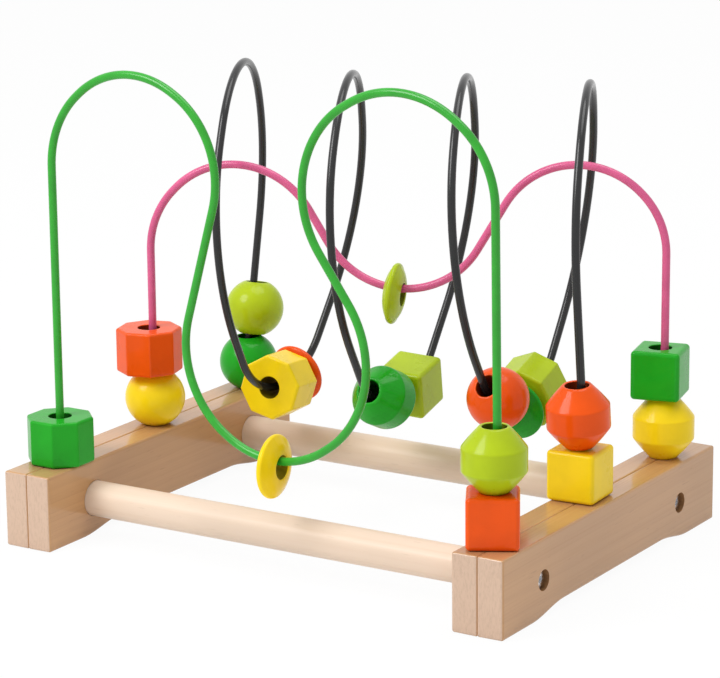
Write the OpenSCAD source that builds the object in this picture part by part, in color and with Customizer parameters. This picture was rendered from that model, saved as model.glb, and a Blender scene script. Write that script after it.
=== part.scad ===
/* [Base] */
// Width of the base, along the dowels
base_w = 332; // [328:1:340]
// Depth of the base, along the rails
base_d = 254; // [250:1:262]
// Height of a rail
rail_h = 45; // [43:0.5:47]
// Thickness of one plank; a rail is two planks
plank_t = 15.8; // [15:0.1:17]
// Bevel on the planks' outer edges
plank_ease = 1.2; // [0.6:0.1:2]
// Bevel on the edges where two planks meet
seam_ease = 0.5; // [0.3:0.1:0.8]
// Height of the arch under a rail
arch_h = 4.4; // [4.2:0.1:6]
// Flat length of each foot
foot_l = 33; // [28:1:36]
// Length over which a foot rises into the arch
arch_run = 36; // [30:1:44]

/* [Dowels and screws] */
// Diameter of a dowel
dowel_d = 21; // [19:0.5:22]
// Distance of a dowel from the middle
dowel_y = 82; // [78:1:86]
// Height of a dowel's axis
dowel_z = 21.5; // [20:0.5:24]
// Depth of a dowel's socket
dowel_seat = 8; // [6:0.5:10]
// Diameter of a screw head
screw_head_d = 9; // [8:0.5:10]
// Height of a screw head
screw_head_h = 3.5; // [3:0.5:4.5]
// Diameter of a screw's shank
screw_d = 5; // [4:0.5:6]
// Length of a screw's shank
screw_l = 48; // [40:1:56]
// Diameter of the sunk hole around a screw head
sink_d = 12; // [11:0.5:13]
// Depth of the sunk hole
sink_depth = 6; // [5:0.5:7]

/* [Wires] */
// Diameter of a wire with its coating
wire_d = 4.8; // [4:0.1:5]
// Depth of a wire's end in the rail
wire_seat = 32; // [26:1:34]
// Where the green wire leaves the left and right rails
green_feet_y = [-93, -104]; // [-112:1:112]
// Where the pink wire leaves the left and right rails
pink_feet_y = [1, 91]; // [-112:1:112]
// Where the black wire leaves the left and right rails
black_feet_y = [98, -4]; // [-112:1:112]

/* [Beads] */
// Diameter of the bore through every bead
bore_d = 13.6; // [13.4:0.1:14]
// Side of a cube
cube_s = 29; // [28:0.5:30]
// Bevel on the edges of a cube and an octagon
bead_ease = 2; // [1:0.1:2.5]
// Width of an octagon across its flats
octagon_w = 37; // [35:0.5:38]
// Height of an octagon
octagon_h = 27; // [26:0.5:28]
// Diameter of a ball
ball_d = 36.5; // [35.5:0.5:37]
// Height of a ball between its flat ends
ball_h = 33; // [32:0.5:33.5]
// Diameter of a barrel
barrel_d = 36; // [35:0.5:37]
// Length of a barrel
barrel_h = 36; // [35:0.5:37]
// Length of a barrel's straight middle
barrel_band = 13; // [11:0.5:14]
// Diameter of a barrel's flat end
barrel_end_d = 16.5; // [15:0.5:18]
// Diameter of a disc
disc_d = 36.5; // [35:0.5:37.5]
// Thickness of a disc at its bore
disc_h = 10.5; // [9.5:0.5:12]
// Thickness of a disc at its rim
disc_rim = 4; // [3:0.5:5]

/* [Hidden] */
$fn = 64;
// Gap between a bead and what it rests on
rest_gap = 0.3;
// Gap between a bead that hangs in a valley and its wire
hang_gap = 0.7;
// Play around a dowel, a screw and a wire in their holes, on the diameter
hole_play = 0.2;
// Gap between a wire's run and its bend, and how much wider the ball is that closes it
joint_gap = 0.2;
joint_bulge = 0.1;
// Steps of a curved outline
arc_steps = 10;

inner_x = base_w / 2 - 2 * plank_t;
seam_x = base_w / 2 - plank_t;
socket_x = inner_x + dowel_seat;
head_x = base_w / 2 - sink_depth;

wood = "#d2a679";
pale_wood = "#ecd2a8";
steel = "#b8bcc0";
green_paint = "#239a26";
lime_paint = "#b4cc1e";
yellow_paint = "#f5d614";
orange_paint = "#ee5a14";
green_coat = "#46b446";
pink_coat = "#d85a8c";
black_coat = "#3c3c3e";

// Corners of the green wire as [x, z, bend radius]
green_corners = [
    [-150, 246, 56], [-97, 291, 58], [-24, 248, 54], [-66, 102, 57], [5, 57, 60],
    [90, 116, 59], [-1, 242, 57], [92, 296, 62], [148, 254, 54]
];
// Corners of the pink wire as [x, z, bend radius]
pink_corners = [[-150, 175, 53], [-88, 241, 53], [0, 87, 53], [92, 248, 51], [150.5, 186, 49]];

// The black coil: where each turn crosses the back, the top, the front and the valley
coil_back_x = [-149, -80, 1, 80];
coil_top_x = [-113, -34, 42, 123];
coil_front_x = [-85, -6, 76, 149];
coil_valley_x = [-95, -10, 75];
coil_valley_lift = [-1, -1, 3];
coil_mid_y = 50;
coil_half_d = 85;
coil_side_z = 171;
coil_top_z = 319;
coil_valley_z = 26;
coil_rise = 4;
coil_side_r = 119;
coil_top_r = 63;
coil_valley_r = [46, 44, 46];
// The first and the last side are drawn in towards the rails
coil_end_r = 108;
coil_first = [-149, 126, 197];
coil_last = [149, -19, 201];

// Straight line through two points, at x
function between(x, ends) = ends[0] + (ends[1] - ends[0]) * (x + seam_x) / (2 * seam_x);
// End of a wire in the rail, below the foot of a leg that runs up to a corner
function wire_end(foot, corner) = foot + (foot - corner) * wire_seat / (corner.z - foot.z);
// A wire's path from end to end
function path(feet_y, corners) = concat(
    [wire_end([-seam_x, feet_y[0], rail_h], corners[0])],
    corners,
    [wire_end([seam_x, feet_y[1], rail_h], corners[len(corners) - 1])]
);
// Corners of a wire that lies in an upright plane between its feet
function flat_corners(feet_y, corners) = [for (c = corners) [c.x, between(c.x, feet_y), c.y]];
// Rise of the coil at turn i, counted from its middle
function rise(i) = coil_rise * (i - 1.5);

green_path = path(green_feet_y, flat_corners(green_feet_y, green_corners));
green_r = concat([0], [for (c = green_corners) c.z], [0]);
pink_path = path(pink_feet_y, flat_corners(pink_feet_y, pink_corners));
pink_r = concat([0], [for (c = pink_corners) c.z], [0]);

coil_corners = [
    for (i = [0:3])
        each [
            i == 0 ? coil_first : [coil_back_x[i], coil_mid_y + coil_half_d, coil_side_z + rise(i)],
            [coil_top_x[i], coil_mid_y, coil_top_z + rise(i)],
            i == 3 ? coil_last : [coil_front_x[i], coil_mid_y - coil_half_d, coil_side_z + rise(i)],
            if (i < 3) [coil_valley_x[i], coil_mid_y, coil_valley_z + rise(i) + coil_valley_lift[i]]
        ]
];
coil_r = [
    for (i = [0:3])
        each [
            i == 0 ? coil_end_r : coil_side_r,
            coil_top_r,
            i == 3 ? coil_end_r : coil_side_r,
            if (i < 3) coil_valley_r[i]
        ]
];
black_path = path(black_feet_y, coil_corners);
black_r = concat([0], coil_r, [0]);

// Corners at which beads hang
green_valley = 5;
pink_valley = 3;
black_valley = [4, 8, 12];

function unit(v) = v / norm(v);
// Direction of the run that leaves corner i
function run(p, i) = unit(p[i + 1] - p[i]);
// Angle through which a wire turns at corner i
function turn(p, i) = acos(run(p, i - 1) * run(p, i));
// Distance from a corner to the ends of its bend; a wire's own ends have none
function reach(p, r, i) = r[i] == 0 ? 0 : r[i] * tan(turn(p, i) / 2);
function bend_start(p, r, i) = p[i] - reach(p, r, i) * run(p, i - 1);
function bend_end(p, r, i) = p[i] + reach(p, r, i) * run(p, i);
// Axis about which a wire turns at corner i
function bend_axis(p, i) = unit(cross(run(p, i - 1), run(p, i)));
// Direction from a bend's centre to its start
function bend_out(p, i) = cross(run(p, i - 1), bend_axis(p, i));
function bend_centre(p, r, i) = bend_start(p, r, i) - r[i] * bend_out(p, i);
// Angle from a bend's start to its lowest point
function bend_low(p, i) = atan2(-run(p, i - 1).z, -bend_out(p, i).z);
// How far a bead of length h hangs below a wire bent to radius r, when it also lies to one side,
// tips in the plane of the bend and swings across it
function hang(h, r, side, tip, swing) =
    let (
        wire_half = wire_d / 2 / cos(asin(h / 2 / r) + abs(tip)),
        free = bore_d / 2 - wire_half - hang_gap,
        across = abs(side) + h / 2 * tan(abs(swing)),
        sag = r - sqrt(r * r - h * h / 4)
    )
        sqrt(max(0, free * free - across * across)) - sag - h / 2 * tan(abs(tip));
// Point at height z on the line from a to b
function at_height(a, b, z) = a + (b - a) * (z - a.z) / (b.z - a.z);
// A direction square to d
function beside(d) = unit(cross(abs(d.x) < 0.9 ? [1, 0, 0] : [0, 1, 0], d));
// Height of the middle of a bead on the rail, and of one on top of another
function on_rail(h) = rail_h + rest_gap + h / 2;
function on_bead(low_h, h) = on_rail(low_h) + low_h / 2 + rest_gap + h / 2;
// Points of an arc about [cx, cy]
function arc(cx, cy, r, from, to) = [
    for (k = [0:arc_steps])
        let (a = from + (to - from) * k / arc_steps)
            [cx + r * cos(a), cy + r * sin(a)]
];

// Sets its children in a frame with the given axes and origin
module place(x, y, z, origin) {
    multmatrix([
        [x.x, y.x, z.x, origin.x],
        [x.y, y.y, z.y, origin.y],
        [x.z, y.z, z.z, origin.z]
    ])
        children();
}

// Outline of a rectangle with bevelled corners; low is the bevel of the two at its low x
module eased_rect(w, h, ease, low) {
    x = w / 2;
    y = h / 2;
    polygon([
        [x, y - ease], [x - ease, y], [low - x, y], [-x, y - low],
        [-x, low - y], [low - x, -y], [x - ease, -y], [x, ease - y]
    ]);
}

// Block with bevelled edges; low is the bevel of those around its low x face
module eased_box(w, d, h, ease, low) {
    intersection() {
        linear_extrude(h, center = true)
            eased_rect(w, d, ease, low);
        rotate([90, 0, 0])
            linear_extrude(d, center = true)
                eased_rect(w, h, ease, low);
        rotate([90, 0, 90])
            linear_extrude(w, center = true)
                eased_rect(d, h, ease, ease);
    }
}

// Straight round rod from a to b
module rod(a, b, d) {
    along = unit(b - a);
    side = beside(along);
    place(side, cross(along, side), along, a)
        cylinder(d = d, h = norm(b - a));
}

// One bend of a wire
module bend(p, r, i) {
    place(bend_out(p, i), run(p, i - 1), bend_axis(p, i), bend_centre(p, r, i))
        rotate_extrude(angle = turn(p, i))
            translate([r[i], 0])
                circle(d = wire_d);
}

// A wire: straight runs between round bends, with a joint ball where each bend meets a run
module wire(p, r) {
    last = len(p) - 1;
    for (i = [0:last - 1]) {
        along = run(p, i);
        from = i == 0 ? p[0] : bend_end(p, r, i) + joint_gap * along;
        to = i == last - 1 ? p[last] : bend_start(p, r, i + 1) - joint_gap * along;
        rod(from, to, wire_d);
    }
    for (i = [1:last - 1]) {
        bend(p, r, i);
        for (joint = [bend_start(p, r, i), bend_end(p, r, i)])
            translate(joint)
                sphere(d = wire_d + joint_bulge);
    }
}

// The hollow under a rail, between its feet
module arch() {
    low_y = base_d / 2 - foot_l;
    rise_points = [
        for (k = [0:arc_steps])
            let (t = k / arc_steps)
                [low_y - arch_run * t, arch_h * (1 - cos(180 * t)) / 2]
    ];
    mirrored = [for (k = [arc_steps:-1:0]) [-rise_points[k].x, rise_points[k].y]];
    rotate([90, 0, 90])
        linear_extrude(base_w, center = true)
            polygon(concat([[low_y, -1]], rise_points, mirrored, [[-low_y, -1]]));
}

// Holes for the wires' ends on the right (side 1) or the left (side -1) rail
module wire_holes(side) {
    for (p = [green_path, pink_path, black_path]) {
        last = len(p) - 1;
        low = side > 0 ? p[last] : p[0];
        high = side > 0 ? p[last - 1] : p[1];
        rod(low, at_height(low, high, rail_h + wire_d), wire_d + hole_play);
    }
}

// A plank without holes, with its middle at x, turned so that its seam faces the other plank
module plank_blank(x, turn) {
    difference() {
        translate([x, 0, rail_h / 2])
            rotate([0, 0, turn])
                eased_box(plank_t, base_d, rail_h, plank_ease, seam_ease);
        arch();
    }
}

// Round holes for both screws or dowels, along X between two places
module cross_holes(x0, x1, d) {
    for (y = [-dowel_y, dowel_y])
        rod([x0, y, dowel_z], [x1, y, dowel_z], d);
}

// Outer plank: sunk holes for the screw heads
module outer_plank(side) {
    difference() {
        plank_blank(side * (seam_x + plank_t / 2), side > 0 ? 0 : 180);
        cross_holes(side * head_x, side * (base_w / 2 + 1), sink_d);
        cross_holes(side * (seam_x - 1), side * head_x, screw_d + hole_play);
        wire_holes(side);
    }
}

// Inner plank: sockets for the dowels
module inner_plank(side) {
    difference() {
        plank_blank(side * (seam_x - plank_t / 2), side > 0 ? 180 : 0);
        cross_holes(side * (inner_x - 1), side * socket_x, dowel_d + hole_play);
        cross_holes(side * socket_x, side * (seam_x + 1), screw_d + hole_play);
        wire_holes(side);
    }
}

// Dowel with a hole for a screw in each end
module dowel(y) {
    tip_x = head_x - screw_l;
    difference() {
        rod([-socket_x, y, dowel_z], [socket_x, y, dowel_z], dowel_d);
        for (side = [-1, 1])
            rod([side * tip_x, y, dowel_z], [side * (socket_x + 1), y, dowel_z], screw_d + hole_play);
    }
}

// Screw that points down from its head's seat at z = 0, with a six-sided recess in its head
module screw() {
    recess_d = screw_head_d / 2;
    recess_h = screw_head_h * 0.6;
    difference() {
        union() {
            translate([0, 0, -screw_l])
                cylinder(d = screw_d, h = screw_l);
            cylinder(d = screw_head_d, h = screw_head_h);
        }
        translate([0, 0, screw_head_h - recess_h])
            cylinder(d = recess_d, h = recess_h + 1, $fn = 6);
    }
}

module bore(h) {
    cylinder(d = bore_d, h = h + 2, center = true);
}

module cube_bead() {
    difference() {
        eased_box(cube_s, cube_s, cube_s, bead_ease, bead_ease);
        bore(cube_s);
    }
}

module octagon_bead() {
    difference() {
        intersection_for (k = [0:3])
            rotate([90, 0, 45 * k])
                linear_extrude(2 * octagon_w, center = true)
                    eased_rect(octagon_w, octagon_h, bead_ease, bead_ease);
        bore(octagon_h);
    }
}

module ball_bead() {
    difference() {
        intersection() {
            sphere(d = ball_d);
            cylinder(d = ball_d + 2, h = ball_h, center = true);
        }
        bore(ball_h);
    }
}

// Barrel: straight in the middle, with a cone to each flat end
module barrel_bead() {
    hole_r = bore_d / 2;
    end_r = barrel_end_d / 2;
    r = barrel_d / 2;
    rotate_extrude()
        polygon([
            [hole_r, -barrel_h / 2], [end_r, -barrel_h / 2], [r, -barrel_band / 2],
            [r, barrel_band / 2], [end_r, barrel_h / 2], [hole_r, barrel_h / 2]
        ]);
}

// Disc: a lens with a round rim
module disc_bead() {
    rim_r = disc_rim / 2;
    rim_x = disc_d / 2 - rim_r;
    span = rim_x - bore_d / 2;
    fall = disc_h / 2 - rim_r;
    r = (span * span + fall * fall) / (2 * fall);
    sweep = asin(span / r);
    rotate_extrude()
        polygon(concat(
            arc(bore_d / 2, disc_h / 2 - r, r, 90, 90 - sweep),
            arc(rim_x, 0, rim_r, 90 - sweep, sweep - 90),
            arc(bore_d / 2, r - disc_h / 2, r, sweep - 90, -90)
        ));
}

// Sets a bead on a straight leg at height z, moved by shift and spun upright about Z
module on_leg(low, high, z, shift, spin) {
    translate(at_height(low, high, z) + shift)
        rotate([0, 0, spin])
            children();
}

module on_left(p, z, shift = [0, 0, 0], spin = 0) {
    on_leg(p[0], p[1], z, shift, spin)
        children();
}

module on_right(p, z, shift = [0, 0, 0], spin = 0) {
    last = len(p) - 1;
    on_leg(p[last], p[last - 1], z, shift, spin)
        children();
}

// Leans its children from upright to the direction of a leg
module lean(low, high) {
    along = unit(high - low);
    side = unit(cross([0, 1, 0], along));
    place(side, cross(along, side), along, [0, 0, 0])
        children();
}

// Hangs a bead of length h in bend i, at an angle from the lowest point, see hang()
module on_bend(p, r, i, h, angle, side = 0, tip = 0, swing = 0, spin = 0) {
    a = bend_low(p, i) + angle;
    out = cos(a) * bend_out(p, i) + sin(a) * run(p, i - 1);
    along = cos(a) * run(p, i - 1) - sin(a) * bend_out(p, i);
    middle = bend_centre(p, r, i) + (r[i] + hang(h, r[i], side, tip, swing)) * out;
    place(out, -bend_axis(p, i), along, middle + side * bend_axis(p, i))
        rotate([swing, -tip, 0])
            rotate([0, 0, spin])
                children();
}

module left_outer_plank() {
    color(wood)
        outer_plank(-1);
}

module left_inner_plank() {
    color(wood)
        inner_plank(-1);
}

module right_inner_plank() {
    color(wood)
        inner_plank(1);
}

module right_outer_plank() {
    color(wood)
        outer_plank(1);
}

module front_dowel() {
    color(pale_wood)
        dowel(-dowel_y);
}

module back_dowel() {
    color(pale_wood)
        dowel(dowel_y);
}

module screws() {
    color(steel)
        for (side = [-1, 1], y = [-dowel_y, dowel_y])
            translate([side * head_x, y, dowel_z])
                rotate([0, side * 90, 0])
                    screw();
}

module green_wire() {
    color(green_coat)
        wire(green_path, green_r);
}

module pink_wire() {
    color(pink_coat)
        wire(pink_path, pink_r);
}

module black_wire() {
    color(black_coat)
        wire(black_path, black_r);
}

module green_octagon() {
    color(green_paint)
        on_left(green_path, on_rail(octagon_h))
            octagon_bead();
}

module yellow_disc() {
    color(yellow_paint)
        on_bend(green_path, green_r, green_valley, disc_h, 0, swing = -6)
            disc_bead();
}

module orange_cube() {
    color(orange_paint)
        on_right(green_path, on_rail(cube_s), [-2.9, -0.5, 0], 29)
            cube_bead();
}

module lime_barrel() {
    color(lime_paint)
        on_right(green_path, on_bead(cube_s, barrel_h), [-2, 0, 0])
            barrel_bead();
}

module yellow_ball() {
    color(yellow_paint)
        on_left(pink_path, on_rail(ball_h), [0.6, 0, 0])
            ball_bead();
}

module orange_octagon() {
    color(orange_paint)
        on_left(pink_path, on_bead(ball_h, octagon_h), [-1.2, -2.4, 0], 14.5)
            octagon_bead();
}

module lime_disc() {
    color(lime_paint)
        on_bend(pink_path, pink_r, pink_valley, disc_h, -5)
            disc_bead();
}

module yellow_barrel() {
    color(yellow_paint)
        on_right(pink_path, on_rail(barrel_h))
            barrel_bead();
}

module green_cube() {
    color(green_paint)
        on_right(pink_path, on_bead(barrel_h, cube_s), [-2.6, -0.4, 0], 13)
            cube_bead();
}

module green_ball() {
    color(green_paint)
        on_left(black_path, on_rail(ball_h), [1.6, 0, 0])
            ball_bead();
}

module lime_ball() {
    tilt_lift = 0.4;
    color(lime_paint)
        on_left(black_path, on_bead(ball_h, ball_h) + tilt_lift, [2.6, 0, 0])
            lean(black_path[0], black_path[1])
                ball_bead();
}

module yellow_octagon() {
    color(yellow_paint)
        on_bend(black_path, black_r, black_valley[0], octagon_h, -2.6, 1.2, -3.6, -8, 10)
            octagon_bead();
}

module orange_disc() {
    color(orange_paint)
        on_bend(black_path, black_r, black_valley[0], disc_h, 25.6, -1.4, -12)
            disc_bead();
}

module green_barrel() {
    color(green_paint)
        on_bend(black_path, black_r, black_valley[1], barrel_h, -24.8, 3.2)
            barrel_bead();
}

module lime_cube() {
    color(lime_paint)
        on_bend(black_path, black_r, black_valley[1], cube_s, 23.6, 0, -11.5, -6, 1)
            cube_bead();
}

module orange_ball() {
    color(orange_paint)
        on_bend(black_path, black_r, black_valley[2], ball_h, -38.8, 3.2)
            ball_bead();
}

module green_disc() {
    color(green_paint)
        on_bend(black_path, black_r, black_valley[2], disc_h, -3.8, 0, 14, -7)
            disc_bead();
}

module lime_octagon() {
    color(lime_paint)
        on_bend(black_path, black_r, black_valley[2], octagon_h, 20.7, -1.4, -7, -7, 24)
            octagon_bead();
}

module yellow_cube() {
    color(yellow_paint)
        on_right(black_path, on_rail(cube_s), [-3.3, 0, 0], 3)
            cube_bead();
}

module orange_barrel() {
    last = len(black_path) - 1;
    tilt_lift = 0.9;
    color(orange_paint)
        on_right(black_path, on_bead(cube_s, barrel_h) + tilt_lift, [-2.4, -0.6, 0])
            lean(black_path[last], black_path[last - 1])
                barrel_bead();
}

left_outer_plank();
left_inner_plank();
right_inner_plank();
right_outer_plank();
front_dowel();
back_dowel();
screws();
green_wire();
pink_wire();
black_wire();
green_octagon();
yellow_disc();
orange_cube();
lime_barrel();
yellow_ball();
orange_octagon();
lime_disc();
yellow_barrel();
green_cube();
green_ball();
lime_ball();
yellow_octagon();
orange_disc();
green_barrel();
lime_cube();
orange_ball();
green_disc();
lime_octagon();
yellow_cube();
orange_barrel();
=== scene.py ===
"""Looks of the bead maze: lacquered rails, coated wires and painted wooden beads."""
import math

import bmesh
import bpy
import numpy as np
from mathutils import Matrix, Vector


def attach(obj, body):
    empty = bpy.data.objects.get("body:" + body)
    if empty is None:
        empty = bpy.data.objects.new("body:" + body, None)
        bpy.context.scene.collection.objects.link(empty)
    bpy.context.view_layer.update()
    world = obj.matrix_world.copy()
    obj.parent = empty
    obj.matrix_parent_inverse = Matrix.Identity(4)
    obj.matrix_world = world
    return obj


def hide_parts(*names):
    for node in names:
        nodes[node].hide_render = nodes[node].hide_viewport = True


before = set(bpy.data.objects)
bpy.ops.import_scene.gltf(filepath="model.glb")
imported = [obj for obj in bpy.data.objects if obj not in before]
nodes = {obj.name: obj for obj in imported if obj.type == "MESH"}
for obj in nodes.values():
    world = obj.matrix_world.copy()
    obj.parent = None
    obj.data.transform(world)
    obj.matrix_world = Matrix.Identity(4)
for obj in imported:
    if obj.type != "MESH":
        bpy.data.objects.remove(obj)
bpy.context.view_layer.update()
scene = bpy.context.scene
MM = 0.001

# Camera, as in the photograph
SENSOR_W = 36.0
LENS = 156.95
CAMERA_AT = Vector((0.9396, -1.4959, 0.5620))
CAMERA_YAW = math.radians(32.165)
CAMERA_DOWN = math.radians(14.144)
CAMERA_ROLL = math.radians(-0.579)

# Sizes that the solids only hint at, in metres
CUBE_ROUND = 2.4 * MM
OCTAGON_ROUND = 1.6 * MM
BORE_ROUND = 0.6 * MM
BAND_ROUND = 0.7 * MM
BARREL_BAND = 13 * MM
BARREL_END_R = 8.25 * MM
BARREL_SWELL = 0.35 * MM
BARREL_EDGE_IN, BARREL_EDGE_UP = 0.12 * MM, 0.1 * MM
DISC_RIM = 4 * MM
PLANK_ROUND = 1.4 * MM
SEAM_ROUND = 1.0 * MM
WIRE_D = 4.8 * MM

# Strip that keeps a flat face flat beside a rounding, and the play around a dowel or wire
HOLD = 0.3 * MM
# Smallest depth that counts as inside a hole
SKIN = 0.05 * MM
# Drop from a round bead's skin to the rim of its bore
RIM_STEP = 0.02 * MM
# Largest cosine between a bore's axis and the normal of a face that counts as a side wall
WALL_LEAN = 0.05
# Angle between two faces from which their edge is drawn sharp
SHARP = math.radians(35)

# Colours of the finishes, linear
GREEN = (0.010, 0.340, 0.012)
LIME = (0.400, 0.520, 0.008)
YELLOW = (0.900, 0.640, 0.006)
ORANGE = (0.810, 0.085, 0.002)
GREEN_COAT = (0.026, 0.345, 0.024)
PINK_COAT = (0.640, 0.100, 0.240)
BLACK_COAT = (0.018, 0.018, 0.019)
BEECH_PALE = (0.545, 0.300, 0.135)
BEECH_DARK = (0.415, 0.212, 0.090)
BEECH_END = (0.600, 0.435, 0.330)
DOWEL_PALE = (0.745, 0.590, 0.465)
DOWEL_DARK = (0.665, 0.490, 0.355)
STEEL = (0.780, 0.785, 0.800)

# Finishes of the wood: glossy lacquer on the rails, satin on the dowels
RAIL_LACQUER = {"Coat_Weight": 0.8, "Coat_Roughness": 0.13, "Specular_IOR_Level": 0.1}
DOWEL_LACQUER = {"Coat_Weight": 0.06, "Coat_Roughness": 0.3, "Specular_IOR_Level": 0.3}


class Shader:
    """A node material with one Principled shader and short ways to add the nodes that feed it."""

    def __init__(self, name):
        self.material = bpy.data.materials.new(name)
        self.material.use_nodes = True
        self.tree = self.material.node_tree
        self.bsdf = self.tree.nodes["Principled BSDF"]

    def set(self, **values):
        for key, value in values.items():
            socket = self.bsdf.inputs[key.replace("_", " ")]
            socket.default_value = (*value, 1.0) if isinstance(value, tuple) else value

    def node(self, kind, **settings):
        made = self.tree.nodes.new(kind)
        for key, value in settings.items():
            setattr(made, key, value)
        return made

    def link(self, source, target):
        self.tree.links.new(source, target)

    def feed(self, key, source):
        self.link(source, self.bsdf.inputs[key])

    def coords(self, scale=(1, 1, 1), offset=(0, 0, 0)):
        where = self.node("ShaderNodeTexCoord")
        mapping = self.node("ShaderNodeMapping")
        mapping.inputs["Scale"].default_value = scale
        mapping.inputs["Location"].default_value = offset
        self.link(where.outputs["Object"], mapping.inputs["Vector"])
        return mapping.outputs["Vector"]

    def noise(self, vector, scale, detail=3.0, rough=0.5):
        made = self.node("ShaderNodeTexNoise")
        self.link(vector, made.inputs["Vector"])
        made.inputs["Scale"].default_value = scale
        made.inputs["Detail"].default_value = detail
        made.inputs["Roughness"].default_value = rough
        return made.outputs["Fac"]

    def math(self, operation, a, b=None):
        made = self.node("ShaderNodeMath", operation=operation)
        for socket, value in zip(made.inputs, (a, b)):
            if isinstance(value, (int, float)):
                socket.default_value = value
            elif value is not None:
                self.link(value, socket)
        return made.outputs["Value"]

    def spread(self, value, low, high, to_low=0.0, to_high=1.0):
        made = self.node("ShaderNodeMapRange", interpolation_type="SMOOTHSTEP")
        self.link(value, made.inputs["Value"])
        made.inputs["From Min"].default_value = low
        made.inputs["From Max"].default_value = high
        made.inputs["To Min"].default_value = to_low
        made.inputs["To Max"].default_value = to_high
        return made.outputs["Result"]

    def mix(self, factor, a, b, blend="MIX"):
        made = self.node("ShaderNodeMix", data_type="RGBA", blend_type=blend)
        self.link(factor, made.inputs[0])
        for socket, value in ((made.inputs[6], a), (made.inputs[7], b)):
            if isinstance(value, tuple):
                socket.default_value = (*value, 1.0)
            else:
                self.link(value, socket)
        return made.outputs[2]

    def bump(self, height, strength, distance):
        made = self.node("ShaderNodeBump")
        self.link(height, made.inputs["Height"])
        made.inputs["Strength"].default_value = strength
        made.inputs["Distance"].default_value = distance
        self.feed("Normal", made.outputs["Normal"])


def shade(colour, factor):
    return tuple(c * factor for c in colour)


def paint(name, colour, turned=0.0):
    """Glossy paint on wood: slightly cloudy, faint grain, and turning rings on a turned bead."""
    made = Shader(name)
    where = made.coords()
    cloud = made.noise(where, 45.0, 3.0, 0.5)
    grain = made.noise(made.coords((1.0, 1.0, 0.05)), 900.0, 2.0)
    tone = made.mix(made.spread(cloud, 0.3, 0.7), shade(colour, 0.94), shade(colour, 1.05))
    streak = made.spread(grain, 0.5, 0.8, 0.0, 0.08)
    made.feed("Base Color", made.mix(streak, tone, shade(colour, 0.8)))
    made.feed("Roughness", made.spread(cloud, 0.3, 0.7, 0.26, 0.34))
    made.set(Coat_Weight=0.2, Coat_Roughness=0.06, Specular_IOR_Level=0.1)
    height = made.math("ADD", made.math("MULTIPLY", grain, 0.3), made.noise(where, 320.0, 2.0))
    if turned:
        rings = made.noise(made.coords((0.02, 0.02, 1.0)), 900.0, 1.0)
        height = made.math("ADD", height, made.math("MULTIPLY", rings, turned))
    made.bump(height, 0.08, 0.1 * MM)
    return made.material


def coat(name, colour, rough):
    """Thick coating on wire: slightly mottled, with a faint ripple."""
    made = Shader(name)
    where = made.coords()
    mottle = made.noise(where, 90.0, 2.0)
    tone = made.mix(made.spread(mottle, 0.3, 0.7), shade(colour, 0.94), shade(colour, 1.06))
    made.feed("Base Color", tone)
    made.feed("Roughness", made.spread(mottle, 0.3, 0.7, rough - 0.03, rough + 0.04))
    made.set(Coat_Weight=0.05, Coat_Roughness=0.12, Specular_IOR_Level=0.35)
    made.bump(made.noise(where, 110.0, 1.0), 0.03, 0.1 * MM)
    return made.material


def wood(name, pale, dark, end, along, heart, seed, lacquer):
    """Lacquered beech: soft rings about a heart outside the piece, fibres and flecks lengthwise."""
    made = Shader(name)

    def lengthwise(factor):
        scale = [1.0, 1.0, 1.0]
        scale[along] = factor
        return tuple(scale)

    shift = (seed * 0.37, seed * 0.71, seed * 0.53)
    warp = made.noise(made.coords(lengthwise(0.035), shift), 22.0, 2.0)
    away = made.node("ShaderNodeVectorMath", operation="LENGTH")
    made.link(made.coords(lengthwise(0.0), tuple(-h for h in heart)), away.inputs[0])
    even = made.math("MULTIPLY", away.outputs["Value"], 150.0)
    ring = made.math("ADD", even, made.math("MULTIPLY", warp, 5.0))
    late = made.spread(made.math("FRACT", ring), 0.2, 1.0)
    cloud = made.noise(made.coords((1, 1, 1), shift), 12.0, 2.0)
    tone = made.mix(made.spread(cloud, 0.3, 0.7), shade(pale, 1.03), shade(pale, 0.94))
    tone = made.mix(made.math("MULTIPLY", late, 0.15), tone, dark)
    fibre = made.noise(made.coords(lengthwise(0.012), shift), 700.0, 3.0, 0.6)
    tone = made.mix(made.spread(fibre, 0.45, 0.8, 0.0, 0.3), tone, dark)
    fleck = made.noise(made.coords(lengthwise(0.12), shift), 750.0, 1.0)
    tone = made.mix(made.spread(fleck, 0.68, 0.8, 0.0, 0.3), tone, shade(dark, 0.75))
    facing = made.node("ShaderNodeSeparateXYZ")
    made.link(made.node("ShaderNodeTexCoord").outputs["Normal"], facing.inputs["Vector"])
    cut = made.spread(made.math("ABSOLUTE", facing.outputs[along]), 0.6, 0.95, 0.0, 0.85)
    pores = made.noise(made.coords((1.0, 1.0, 0.3), shift), 1100.0, 3.0, 0.6)
    sawn = made.mix(made.spread(pores, 0.4, 0.75, 0.0, 0.45), shade(end, 1.04), shade(end, 0.72))
    tone = made.mix(cut, tone, sawn)
    made.feed("Base Color", tone)
    made.feed("Roughness", made.spread(fibre, 0.3, 0.7, 0.34, 0.46))
    made.set(**lacquer)
    made.bump(made.math("ADD", fibre, made.math("MULTIPLY", late, 0.4)), 0.1, 0.12 * MM)
    return made.material


def hollow(name, colour):
    """Inside of a hole, in the dark colour it is given (thin finish over rough wood and painted
    shade of the recess), mottled with dust.
    """
    made = Shader(name)
    where = made.coords()
    dust = made.noise(where, 260.0, 3.0, 0.6)
    made.feed("Base Color", made.mix(made.spread(dust, 0.3, 0.7), shade(colour, 0.8), colour))
    made.feed("Roughness", made.spread(dust, 0.3, 0.7, 0.6, 0.75))
    made.set(Specular_IOR_Level=0.1)
    made.bump(dust, 0.2, 0.1 * MM)
    return made.material


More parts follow.
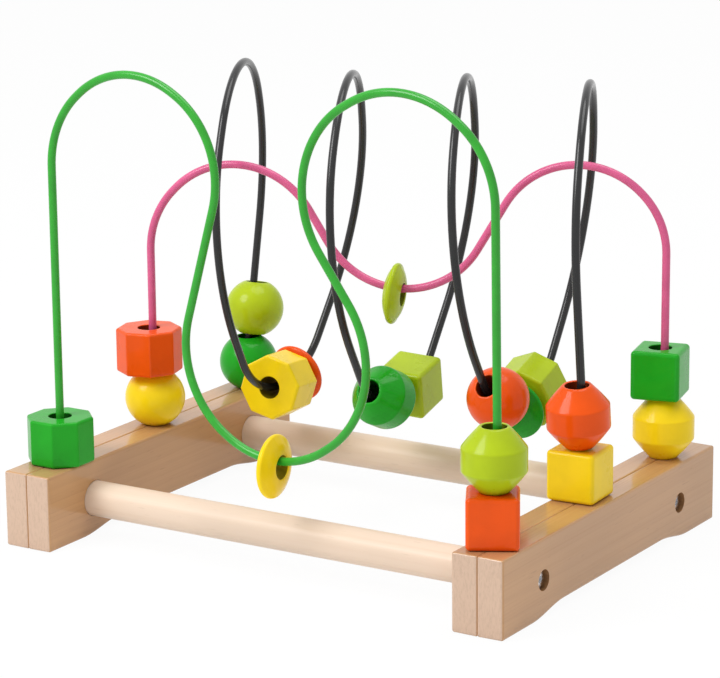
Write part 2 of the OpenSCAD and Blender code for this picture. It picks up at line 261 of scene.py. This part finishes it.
def steel(name):
    """Plated steel with fine scratches."""
    made = Shader(name)
    scratch = made.noise(made.coords((1.0, 1.0, 0.1)), 900.0, 2.0)
    made.feed("Base Color", made.mix(scratch, shade(STEEL, 0.92), shade(STEEL, 1.06)))
    made.feed("Roughness", made.spread(scratch, 0.3, 0.7, 0.16, 0.24))
    made.set(Metallic=1.0)
    made.bump(scratch, 0.02, 0.02 * MM)
    return made.material


PAINT = {"green": GREEN, "lime": LIME, "yellow": YELLOW, "orange": ORANGE}
flat_paint = {key: paint(key + "_paint", colour) for key, colour in PAINT.items()}
turned_paint = {key: paint(key + "_turned_paint", colour, 1.2) for key, colour in PAINT.items()}
# Bores: the bead's colour at 0.3, partly thin paint over bare wood, partly painted shade of the
# bore.
bore_paint_and_shade = {key: hollow(key + "_bore_paint_and_shade", shade(colour, 0.3)) for key, colour in PAINT.items()}
# Screw sinks: dark beech at 0.8, partly bare wood, partly painted shade of the recess.
sink_wood_and_shade = hollow("sink_beech_and_shade", shade(BEECH_DARK, 0.8))


def add_piece(name, mesh, material, body, replaced, matrix=None):
    """Puts a finished mesh in the scene in place of a CAD node."""
    piece = bpy.data.objects.new(name, mesh)
    scene.collection.objects.link(piece)
    mesh.materials.append(material)
    if matrix is not None:
        piece.matrix_world = matrix
    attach(piece, body)
    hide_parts(replaced)
    return piece


def line_hole(mesh, material, inside):
    """Gives a second material to the faces whose middles lie inside a hole."""
    mesh.materials.append(material)
    for face in mesh.polygons:
        if inside(face.center):
            face.material_index = 1


def mesh_from(name, points, faces, smooth=True):
    """A mesh with doubled points merged and all faces turned outward."""
    mesh = bpy.data.meshes.new(name)
    mesh.from_pydata(points, [], faces)
    work = bmesh.new()
    work.from_mesh(mesh)
    bmesh.ops.remove_doubles(work, verts=work.verts, dist=1e-7)
    bmesh.ops.recalc_face_normals(work, faces=work.faces)
    for face in work.faces:
        face.smooth = smooth
    work.to_mesh(mesh)
    work.free()
    return mesh


# Beads

def bead_pose(node, sides):
    """A bead's frame and sizes, read from its solid: Z along the bore, X square to a side face."""
    mesh = nodes[node].data
    area = np.array([face.area for face in mesh.polygons])
    normal = np.array([face.normal for face in mesh.polygons])
    values, vectors = np.linalg.eigh((normal * area[:, None]).T @ normal)
    axis = vectors[:, 0] if values[1] - values[0] > values[2] - values[1] else vectors[:, 2]
    wall = np.abs(normal @ axis) < WALL_LEAN
    values, vectors = np.linalg.eigh((normal[wall] * area[wall, None]).T @ normal[wall])
    axis = vectors[:, 0] * (1 if vectors[2, 0] > 0 else -1)
    side = np.cross((0, 1, 0) if abs(axis[1]) < 0.9 else (1, 0, 0), axis)
    side = side / np.linalg.norm(side)
    other = np.cross(axis, side)
    if sides:
        turn = np.arctan2(normal[wall] @ other, normal[wall] @ side)
        spin = np.angle((area[wall] * np.exp(1j * sides * turn)).sum()) / sides
        side = math.cos(spin) * side + math.sin(spin) * other
        other = np.cross(axis, side)
    basis = np.stack([side, other, axis], 1)
    local = np.array([v.co for v in mesh.vertices]) @ basis
    low, high = local.min(0), local.max(0)
    pose = Matrix(basis.tolist()).to_4x4()
    pose.translation = Vector(basis @ ((low + high) / 2))
    return pose, high - low


def bore_radius(node, pose):
    """Radius of a bead's bore: the nearest that its solid comes to the bore's axis."""
    back = pose.inverted()
    return min((back @ v.co).xy.length for v in nodes[node].data.vertices)


def round_outline(steps=96):
    """Base points and outward normals of a round bead."""
    turns = [2 * math.pi * k / steps for k in range(steps)]
    return [((0.0, 0.0), (math.cos(t), math.sin(t))) for t in turns]


def sided_outline(sides, inner, corner_steps=6, edge_steps=10):
    """Points and normals around a flat-sided bead; inner is its half width less the rounding."""
    points = []
    wedge = 2 * math.pi / sides
    reach = inner * math.tan(wedge / 2)
    for k in range(sides):
        out = Vector((math.cos(k * wedge), math.sin(k * wedge)))
        along = Vector((-out.y, out.x))
        stops = [-reach, HOLD - reach]
        stops += [(2 * j / edge_steps - 1) * reach for j in range(1, edge_steps)]
        stops += [reach - HOLD, reach]
        points += [(tuple(inner * out + s * along), tuple(out)) for s in stops]
        corner = inner * out + reach * along
        for j in range(1, corner_steps):
            turn = k * wedge + wedge * j / corner_steps
            points.append((tuple(corner), (math.cos(turn), math.sin(turn))))
    return points


def loft(name, outline, rings):
    """Closed skin through rings of (kind, scale, offset, z); a bore ring's offset is its radius."""
    points = []
    for kind, scale, offset, z in rings:
        for base, normal in outline:
            if kind == "bore":
                heading = math.atan2(base[1] + normal[1] * HOLD, base[0] + normal[0] * HOLD)
                points.append((offset * math.cos(heading), offset * math.sin(heading), z))
            else:
                x = base[0] * scale + normal[0] * offset
                y = base[1] * scale + normal[1] * offset
                points.append((x, y, z))
    count = len(outline)
    faces = []
    for i in range(len(rings)):
        low = i * count
        high = (i + 1) % len(rings) * count
        for k in range(count):
            after = (k + 1) % count
            faces.append((low + k, low + after, high + after, high + k))
    return mesh_from(name, points, faces)


def bore_rim(bore, half_h, steps=4):
    """Rings from a bead's end face over its rounded rim to its bore, for the upper half."""
    rings = [("bore", 1, bore + BORE_ROUND + HOLD, half_h)]
    for j in range(steps + 1):
        turn = math.pi / 2 * j / steps
        radius = bore + BORE_ROUND * (1 - math.sin(turn))
        rings.append(("bore", 1, radius, half_h - BORE_ROUND * (1 - math.cos(turn))))
    rings.append(("bore", 1, bore, half_h - BORE_ROUND - HOLD))
    return rings


def mirrored(upper):
    """An upper half's rings followed by the same rings below, in reverse."""
    return upper + [(kind, scale, offset, -z) for kind, scale, offset, z in reversed(upper)]


def sided_bead(name, sides, size, bore, edge):
    """Cube or octagon with rounded edges."""
    half_w, half_h = size[0] / 2, size[2] / 2
    inner = half_w - edge
    steps = 6
    upper = [("side", 1, edge, half_h - edge - HOLD)]
    for j in range(steps + 1):
        turn = math.pi / 2 * j / steps
        upper.append(("side", 1, edge * math.cos(turn), half_h - edge + edge * math.sin(turn)))
    upper.append(("side", 1 - HOLD / inner, 0.0, half_h))
    upper += bore_rim(bore, half_h)
    edge_steps = 12 if sides == 4 else 4
    return loft(name, sided_outline(sides, inner, edge_steps=edge_steps), mirrored(upper))


def ball_bead(name, size, bore):
    """Ball: a sphere with a flat at each end of its bore."""
    radius, half_h = size[0] / 2, size[2] / 2
    upper = []
    lowest, steps = 0.02, 28
    highest = math.asin((half_h - RIM_STEP) / radius)
    for j in range(steps + 1):
        turn = lowest + (highest - lowest) * j / steps
        upper.append(("side", 1, radius * math.cos(turn), radius * math.sin(turn)))
    upper += bore_rim(bore, half_h)[1:]
    return loft(name, round_outline(), mirrored(upper))


def barrel_bead(name, size, bore, band, end_r):
    """Barrel: straight band with crisp edges, and shoulders that swell a little."""
    radius, half_h = size[0] / 2, size[2] / 2
    rise = half_h - band / 2
    steps = 12
    upper = [
        ("side", 1, radius, band / 2 - BAND_ROUND),
        ("side", 1, radius, band / 2 - BAND_ROUND / 2),
        ("side", 1, radius - BARREL_EDGE_IN, band / 2 + BARREL_EDGE_UP),
    ]
    for j in range(1, steps + 1):
        t = j / steps
        bulge = BARREL_SWELL * math.sin(math.pi * t)
        upper.append(("side", 1, radius + (end_r - radius) * t + bulge, band / 2 + rise * t))
    upper += bore_rim(bore, half_h)[1:]
    return loft(name, round_outline(), mirrored(upper))


def disc_bead(name, size, bore, rim):
    """Disc: a lens with a round rim."""
    radius, half_h = size[0] / 2, size[2] / 2
    rim_r = rim / 2
    rim_x = radius - rim_r
    span = rim_x - bore
    fall = half_h - rim_r
    sphere = (span * span + fall * fall) / (2 * fall)
    sweep = math.asin(span / sphere)
    rim_steps, face_steps = 10, 16
    upper = []
    for j in range(1, rim_steps + 1):
        turn = (math.pi / 2 - sweep) * j / rim_steps
        upper.append(("side", 1, rim_x + rim_r * math.cos(turn), rim_r * math.sin(turn)))
    for j in range(1, face_steps + 1):
        turn = sweep * (1 - j / face_steps)
        z = half_h - sphere + sphere * math.cos(turn)
        upper.append(("side", 1, bore + sphere * math.sin(turn), z))
    upper = [ring for ring in upper if ring[2] > bore + BORE_ROUND]
    upper += bore_rim(bore, half_h - RIM_STEP)[1:]
    return loft(name, round_outline(), mirrored(upper))


def make_bead(node):
    """The finer bead that takes the place of a solid, by the shape and colour in its name."""
    tint, kind = node.split("_")
    sides = {"cube": 4, "octagon": 8}.get(kind, 0)
    pose, size = bead_pose(node, sides)
    bore = bore_radius(node, pose)
    name = node + "_bead"
    if sides:
        mesh = sided_bead(name, sides, size, bore, CUBE_ROUND if sides == 4 else OCTAGON_ROUND)
    elif kind == "ball":
        mesh = ball_bead(name, size, bore)
    elif kind == "barrel":
        mesh = barrel_bead(name, size, bore, BARREL_BAND, BARREL_END_R)
    else:
        mesh = disc_bead(name, size, bore, DISC_RIM)
    material = flat_paint[tint] if sides else turned_paint[tint]
    add_piece(name, mesh, material, node, node, pose)
    # Bore faces get the darkened colour: thin paint plus painted shade.
    line_hole(mesh, bore_paint_and_shade[tint], lambda at: at.xy.length < bore + SKIN)


KINDS = ("cube", "octagon", "ball", "barrel", "disc")
for node in sorted(nodes):
    if node.split("_")[-1] in KINDS:
        make_bead(node)


# Wires: corners in millimetres with the radius of each bend, from the left rail to the right

SEAM_X, RAIL_TOP, WIRE_SEAT = 150.2, 45.0, 32.0


def flat_route(feet_y, corners):
    """Corners of a wire in an upright plane through its feet, from [x, z, radius]."""
    def y_at(x):
        return feet_y[0] + (feet_y[1] - feet_y[0]) * (x + SEAM_X) / (2 * SEAM_X)
    return [((x, y_at(x), z), r) for x, z, r in corners]


GREEN_FEET_Y, PINK_FEET_Y, BLACK_FEET_Y = (-93, -104), (1, 91), (98, -4)
green_route = flat_route(GREEN_FEET_Y, (
    (-150, 246, 56), (-97, 291, 58), (-24, 248, 54), (-66, 102, 57), (5, 57, 60),
    (90, 116, 59), (-1, 242, 57), (92, 296, 62), (148, 254, 54),
))
pink_route = flat_route(PINK_FEET_Y, (
    (-150, 175, 53), (-88, 241, 53), (0, 87, 53), (92, 248, 51), (150.5, 186, 49),
))

COIL_BACK_X, COIL_TOP_X, COIL_FRONT_X = (-149, -80, 1, 80), (-113, -34, 42, 123), (-85, -6, 76, 149)
COIL_VALLEY_X, COIL_VALLEY_LIFT, COIL_VALLEY_R = (-95, -10, 75), (-1, -1, 3), (46, 44, 46)
COIL_MID_Y, COIL_HALF_D = 50, 85
COIL_SIDE_Z, COIL_TOP_Z, COIL_VALLEY_Z, COIL_RISE = 171, 319, 26, 4
COIL_SIDE_R, COIL_TOP_R, COIL_END_R = 119, 63, 108
COIL_FIRST, COIL_LAST = (-149, 126, 197), (149, -19, 201)


def coil_route():
    """Corners of the coil: back, top, front and valley of each turn."""
    route = []
    turns = len(COIL_TOP_X)
    for i in range(turns):
        lift = COIL_RISE * (i - (turns - 1) / 2)
        first, last = i == 0, i == turns - 1
        back = (COIL_BACK_X[i], COIL_MID_Y + COIL_HALF_D, COIL_SIDE_Z + lift)
        front = (COIL_FRONT_X[i], COIL_MID_Y - COIL_HALF_D, COIL_SIDE_Z + lift)
        route.append((COIL_FIRST, COIL_END_R) if first else (back, COIL_SIDE_R))
        route.append(((COIL_TOP_X[i], COIL_MID_Y, COIL_TOP_Z + lift), COIL_TOP_R))
        route.append((COIL_LAST, COIL_END_R) if last else (front, COIL_SIDE_R))
        if not last:
            valley_z = COIL_VALLEY_Z + lift + COIL_VALLEY_LIFT[i]
            route.append(((COIL_VALLEY_X[i], COIL_MID_Y, valley_z), COIL_VALLEY_R[i]))
    return route


def wire_points(route, feet_y, step=math.radians(3)):
    """Points along a wire: straight runs between round bends, and a straight end in each rail."""
    corners = [Vector(corner) for corner, _ in route]
    radii = [radius for _, radius in route]
    ends = []
    for x, y, corner in ((-SEAM_X, feet_y[0], corners[0]), (SEAM_X, feet_y[1], corners[-1])):
        foot = Vector((x, y, RAIL_TOP))
        ends.append(foot + (foot - corner) * WIRE_SEAT / (corner.z - foot.z))
    chain = [ends[0]] + corners + [ends[1]]
    points = [ends[0]]
    for i, radius in enumerate(radii, start=1):
        before = (chain[i] - chain[i - 1]).normalized()
        after = (chain[i + 1] - chain[i]).normalized()
        turn = before.angle(after)
        out = before.cross(before.cross(after).normalized())
        start = chain[i] - before * radius * math.tan(turn / 2)
        centre = start - out * radius
        steps = max(2, round(turn / step))
        for j in range(steps + 1):
            angle = turn * j / steps
            points.append(centre + radius * (math.cos(angle) * out + math.sin(angle) * before))
    points.append(ends[1])
    return points


def make_wire(tint, route, feet_y, material):
    """A coated wire along its route, as a round tube."""
    curve = bpy.data.curves.new(tint + "_wire_tube", "CURVE")
    curve.dimensions = "3D"
    curve.bevel_depth = WIRE_D / 2
    curve.bevel_resolution = 6
    curve.use_fill_caps = True
    points = wire_points(route, feet_y)
    spline = curve.splines.new("POLY")
    spline.points.add(len(points) - 1)
    for target, point in zip(spline.points, points):
        target.co = (*(point * MM), 1.0)
    spline.use_smooth = True
    add_piece(tint + "_wire_tube", curve, material, "frame", tint + "_wire")


WIRES = {
    "green": (green_route, GREEN_FEET_Y),
    "pink": (pink_route, PINK_FEET_Y),
    "black": (coil_route(), BLACK_FEET_Y),
}
COATS = {"green": (GREEN_COAT, 0.24), "pink": (PINK_COAT, 0.26), "black": (BLACK_COAT, 0.2)}
for tint, (route, feet_y) in WIRES.items():
    make_wire(tint, route, feet_y, coat(tint + "_coat", *COATS[tint]))


# Rails, dowels and screws

PLANK_T, BASE_D, RAIL_H = 15.8 * MM, 254 * MM, RAIL_TOP * MM
FOOT_L, ARCH_RUN, ARCH_H = 33 * MM, 36 * MM, 4.4 * MM
DOWEL_Y, DOWEL_Z, DOWEL_R = 82 * MM, 21.5 * MM, 10.5 * MM
SINK_R, SINK_DEPTH = 6 * MM, 6 * MM
SOCKET_DEPTH, HOLE_DEPTH = 2 * MM, 3 * MM


def arch_height(y):
    """Height of a rail's underside at y."""
    t = (BASE_D / 2 - FOOT_L - abs(y)) / ARCH_RUN
    t = min(max(t, 0.0), 1.0)
    return ARCH_H * (1 - math.cos(math.pi * t)) / 2


def plank_outline(x_seam, x_outer, corner_steps=6):
    """Points (x, z), outward normals and end roundings around a plank's cross-section."""
    heading = 1 if x_outer > x_seam else -1
    width = abs(x_outer - x_seam)
    corners = (
        (width - PLANK_ROUND, PLANK_ROUND, PLANK_ROUND, -90),
        (width - PLANK_ROUND, RAIL_H - PLANK_ROUND, PLANK_ROUND, 0),
        (SEAM_ROUND, RAIL_H - SEAM_ROUND, SEAM_ROUND, 90),
        (SEAM_ROUND, SEAM_ROUND, SEAM_ROUND, 180),
    )
    points = []
    for cx, cz, radius, start in corners:
        for j in range(corner_steps + 1):
            turn = math.radians(start + 90 * j / corner_steps)
            nx, nz = math.cos(turn), math.sin(turn)
            step = HOLD * (-1 if j == 0 else 1)
            held = (cx + radius * nx - step * nz, cz + radius * nz + step * nx)
            here = (cx + radius * nx, cz + radius * nz)
            order = {0: (held, here), corner_steps: (here, held)}.get(j, (here,))
            points += [(x_seam + heading * x, z, heading * nx, nz, radius) for x, z in order]
    return points


def plank_mesh(name, x_seam, x_outer):
    """A plank with rounded edges and an arched underside, without holes."""
    outline = plank_outline(x_seam, x_outer)
    rings = []
    half = BASE_D / 2
    steps, arch_steps = 6, 16

    def ring(y_of, inset_of):
        made = []
        for x, z, nx, nz, radius in outline:
            y = y_of(radius)
            inset = inset_of(radius)
            lift = arch_height(y) if z < RAIL_H / 2 else 0.0
            made.append((x - inset * nx, y, z - inset * nz + lift))
        rings.append(made)

    ring(lambda r: -half, lambda r: r + HOLD)
    for j in range(steps + 1):
        turn = math.pi / 2 * (1 - j / steps)
        ring(lambda r: -half + r * (1 - math.sin(turn)), lambda r: r * (1 - math.cos(turn)))
    inner = half - PLANK_ROUND - HOLD
    foot = half - FOOT_L
    stops = [-inner] + [-foot + ARCH_RUN * j / arch_steps for j in range(arch_steps + 1)]
    stops += [-y for y in reversed(stops)]
    for y in stops:
        ring(lambda r: y, lambda r: 0.0)
    for j in range(steps + 1):
        turn = math.pi / 2 * j / steps
        ring(lambda r: half - r * (1 - math.sin(turn)), lambda r: r * (1 - math.cos(turn)))
    ring(lambda r: half, lambda r: r + HOLD)
    count = len(outline)
    points = [point for made in rings for point in made]
    faces = [tuple(range(count)), tuple(range(len(points) - count, len(points)))]
    for i in range(len(rings) - 1):
        low, high = i * count, (i + 1) * count
        for k in range(count):
            after = (k + 1) % count
            faces.append((low + k, low + after, high + after, high + k))
    return mesh_from(name, points, faces)


def plug(start, end, radius):
    """A round cutter between two points."""
    work = bmesh.new()
    axis = Vector(end) - Vector(start)
    turn = axis.to_track_quat("Z", "Y").to_matrix().to_4x4()
    place = Matrix.Translation((Vector(start) + Vector(end)) / 2) @ turn
    bmesh.ops.create_cone(
        work, cap_ends=True, segments=64, radius1=radius, radius2=radius,
        depth=axis.length, matrix=place,
    )
    mesh = bpy.data.meshes.new("plug")
    work.to_mesh(mesh)
    work.free()
    cutter = bpy.data.objects.new("plug", mesh)
    scene.collection.objects.link(cutter)
    return cutter


def drilled(mesh, plugs):
    """The mesh less the cutters, with sharp rims and smooth roundings."""
    blank = bpy.data.objects.new("blank", mesh)
    scene.collection.objects.link(blank)
    for cutter in plugs:
        hole = blank.modifiers.new("hole", "BOOLEAN")
        hole.operation = "DIFFERENCE"
        hole.solver = "EXACT"
        hole.object = cutter
    solid = blank.evaluated_get(bpy.context.evaluated_depsgraph_get())
    made = bpy.data.meshes.new_from_object(solid)
    made.name = mesh.name
    made.shade_smooth()
    made.set_sharp_from_angle(angle=SHARP)
    for used in [blank] + plugs:
        bpy.data.objects.remove(used)
    return made


def make_plank(node, side, outer, heart, seed):
    """One plank of the left (side -1) or right (side 1) rail, with its holes."""
    x_seam = side * SEAM_X * MM
    x_outer = x_seam + side * PLANK_T * (1 if outer else -1)
    plugs = []
    for y in (-DOWEL_Y, DOWEL_Y):
        if outer:
            start, end = x_outer - side * SINK_DEPTH, x_outer + side * SINK_DEPTH
            radius = SINK_R
        else:
            start, end = x_outer + side * SOCKET_DEPTH, x_outer - side * SOCKET_DEPTH
            radius = DOWEL_R + HOLD
        plugs.append(plug((start, y, DOWEL_Z), (end, y, DOWEL_Z), radius))
    for route, feet_y in WIRES.values():
        corner = Vector(route[0][0] if side < 0 else route[-1][0])
        foot = Vector((side * SEAM_X, feet_y[0 if side < 0 else 1], RAIL_TOP))
        along = (corner - foot).normalized()
        reach = HOLE_DEPTH * along
        plugs.append(plug(foot * MM - reach, foot * MM + reach, WIRE_D / 2 + HOLD))
    mesh = drilled(plank_mesh(node + "_board", x_seam, x_outer), plugs)
    colours = (BEECH_PALE, BEECH_DARK, BEECH_END)
    material = wood(node + "_beech", *colours, 1, heart, seed, RAIL_LACQUER)
    add_piece(node + "_board", mesh, material, "frame", node)
    if outer:
        depth = SINK_DEPTH + HOLD

        def in_sink(at):
            below = side * (x_outer - at.x)
            away = math.hypot(abs(at.y) - DOWEL_Y, at.z - DOWEL_Z)
            return SKIN < below < depth and away < SINK_R + HOLD

        # Sink faces get the darkened wood: bare wood plus painted shade.
        line_hole(mesh, sink_wood_and_shade, in_sink)


def finish_node(node, material):
    """Gives a CAD node, kept as it is, its material."""
    nodes[node].data.materials.clear()
    nodes[node].data.materials.append(material)


make_plank("left_outer_plank", -1, True, (-0.20, 0, -0.06), 1)
make_plank("left_inner_plank", -1, False, (-0.13, 0, 0.12), 2)
make_plank("right_inner_plank", 1, False, (0.12, 0, -0.07), 3)
make_plank("right_outer_plank", 1, True, (0.24, 0, 0.09), 4)
for dowel, side, seed in (("front_dowel", -1, 5), ("back_dowel", 1, 6)):
    colours = (DOWEL_PALE, DOWEL_DARK, BEECH_END)
    heart = (0, side * 0.15, -0.03)
    finish_node(dowel, wood(dowel + "_beech", *colours, 0, heart, seed, DOWEL_LACQUER))
finish_node("screws", steel("screw_steel"))


# Stage, light and camera

FLOOR_HALF, FLOOR_DROP, FLOOR_GLOW = 6.0, 0.2 * MM, 0.95
FILL_LIGHT = 0.5


def make_floor():
    """Wide pale floor that shows white to the camera and still takes a faint shadow."""
    made = Shader("floor_pale")
    made.set(Base_Color=(0.9, 0.9, 0.9), Roughness=0.9, Specular_IOR_Level=0.0)
    glow = made.node("ShaderNodeEmission")
    glow.inputs["Strength"].default_value = 1.0
    path = made.node("ShaderNodeLightPath")
    seen = made.math("ADD", path.outputs["Is Camera Ray"], path.outputs["Is Glossy Ray"])
    seen = made.math("ADD", seen, path.outputs["Is Transmission Ray"])
    blend = made.node("ShaderNodeMixShader")
    share = made.math("MULTIPLY", made.math("MINIMUM", seen, 1.0), FLOOR_GLOW)
    made.link(share, blend.inputs["Fac"])
    made.link(made.bsdf.outputs["BSDF"], blend.inputs[1])
    made.link(glow.outputs["Emission"], blend.inputs[2])
    made.link(blend.outputs["Shader"], made.tree.nodes["Material Output"].inputs["Surface"])
    half = FLOOR_HALF
    corners = [(-half, -half, 0.0), (half, -half, 0.0), (half, half, 0.0), (-half, half, 0.0)]
    mesh = mesh_from("floor", corners, [(0, 1, 2, 3)], smooth=False)
    floor = bpy.data.objects.new("floor", mesh)
    floor.location.z = -FLOOR_DROP
    mesh.materials.append(made.material)
    scene.collection.objects.link(floor)


def make_world():
    """White surroundings: plain fill light, and white where the camera sees them."""
    world = bpy.data.worlds.new("studio")
    world.use_nodes = True
    tree = world.node_tree
    fill = tree.nodes["Background"]
    fill.inputs["Strength"].default_value = FILL_LIGHT
    white = tree.nodes.new("ShaderNodeBackground")
    for source in (fill, white):
        source.inputs["Color"].default_value = (1, 1, 1, 1)
    path = tree.nodes.new("ShaderNodeLightPath")
    blend = tree.nodes.new("ShaderNodeMixShader")
    seen = tree.nodes.new("ShaderNodeMath")
    seen.operation = "MAXIMUM"
    tree.links.new(path.outputs["Is Camera Ray"], seen.inputs[0])
    tree.links.new(path.outputs["Is Glossy Ray"], seen.inputs[1])
    tree.links.new(seen.outputs["Value"], blend.inputs["Fac"])
    tree.links.new(fill.outputs["Background"], blend.inputs[1])
    tree.links.new(white.outputs["Background"], blend.inputs[2])
    tree.links.new(blend.outputs["Shader"], tree.nodes["World Output"].inputs["Surface"])
    scene.world = world


def add_light(name, place, target, size, power):
    """A round soft light that looks at the target."""
    data = bpy.data.lights.new(name, "AREA")
    data.shape = "DISK"
    data.size = size
    data.energy = power
    lamp = bpy.data.objects.new(name, data)
    lamp.location = place
    lamp.rotation_euler = (Vector(target) - Vector(place)).to_track_quat("-Z", "Y").to_euler()
    scene.collection.objects.link(lamp)


def make_camera():
    """The camera that was fitted to the photograph."""
    ahead = Vector((
        -math.sin(CAMERA_YAW) * math.cos(CAMERA_DOWN),
        math.cos(CAMERA_YAW) * math.cos(CAMERA_DOWN),
        -math.sin(CAMERA_DOWN),
    ))
    level = Vector((math.cos(CAMERA_YAW), math.sin(CAMERA_YAW), 0))
    upright = level.cross(ahead)
    right = math.cos(CAMERA_ROLL) * level + math.sin(CAMERA_ROLL) * upright
    up = math.cos(CAMERA_ROLL) * upright - math.sin(CAMERA_ROLL) * level
    data = bpy.data.cameras.new("camera")
    data.sensor_fit = "HORIZONTAL"
    data.sensor_width = SENSOR_W
    data.lens = LENS
    data.clip_end = 20
    camera = bpy.data.objects.new("camera", data)
    pose = Matrix((right, up, -ahead)).transposed().to_4x4()
    pose.translation = CAMERA_AT
    camera.matrix_world = pose
    scene.collection.objects.link(camera)
    scene.camera = camera


MIDDLE = (0, 0, 0.1)
make_floor()
make_world()
add_light("key", (-0.9, -1.5, 1.7), MIDDLE, 1.3, 36)
add_light("top", (0.2, 0.3, 2.2), MIDDLE, 1.6, 22)
make_camera()
scene.view_settings.view_transform = "Standard"
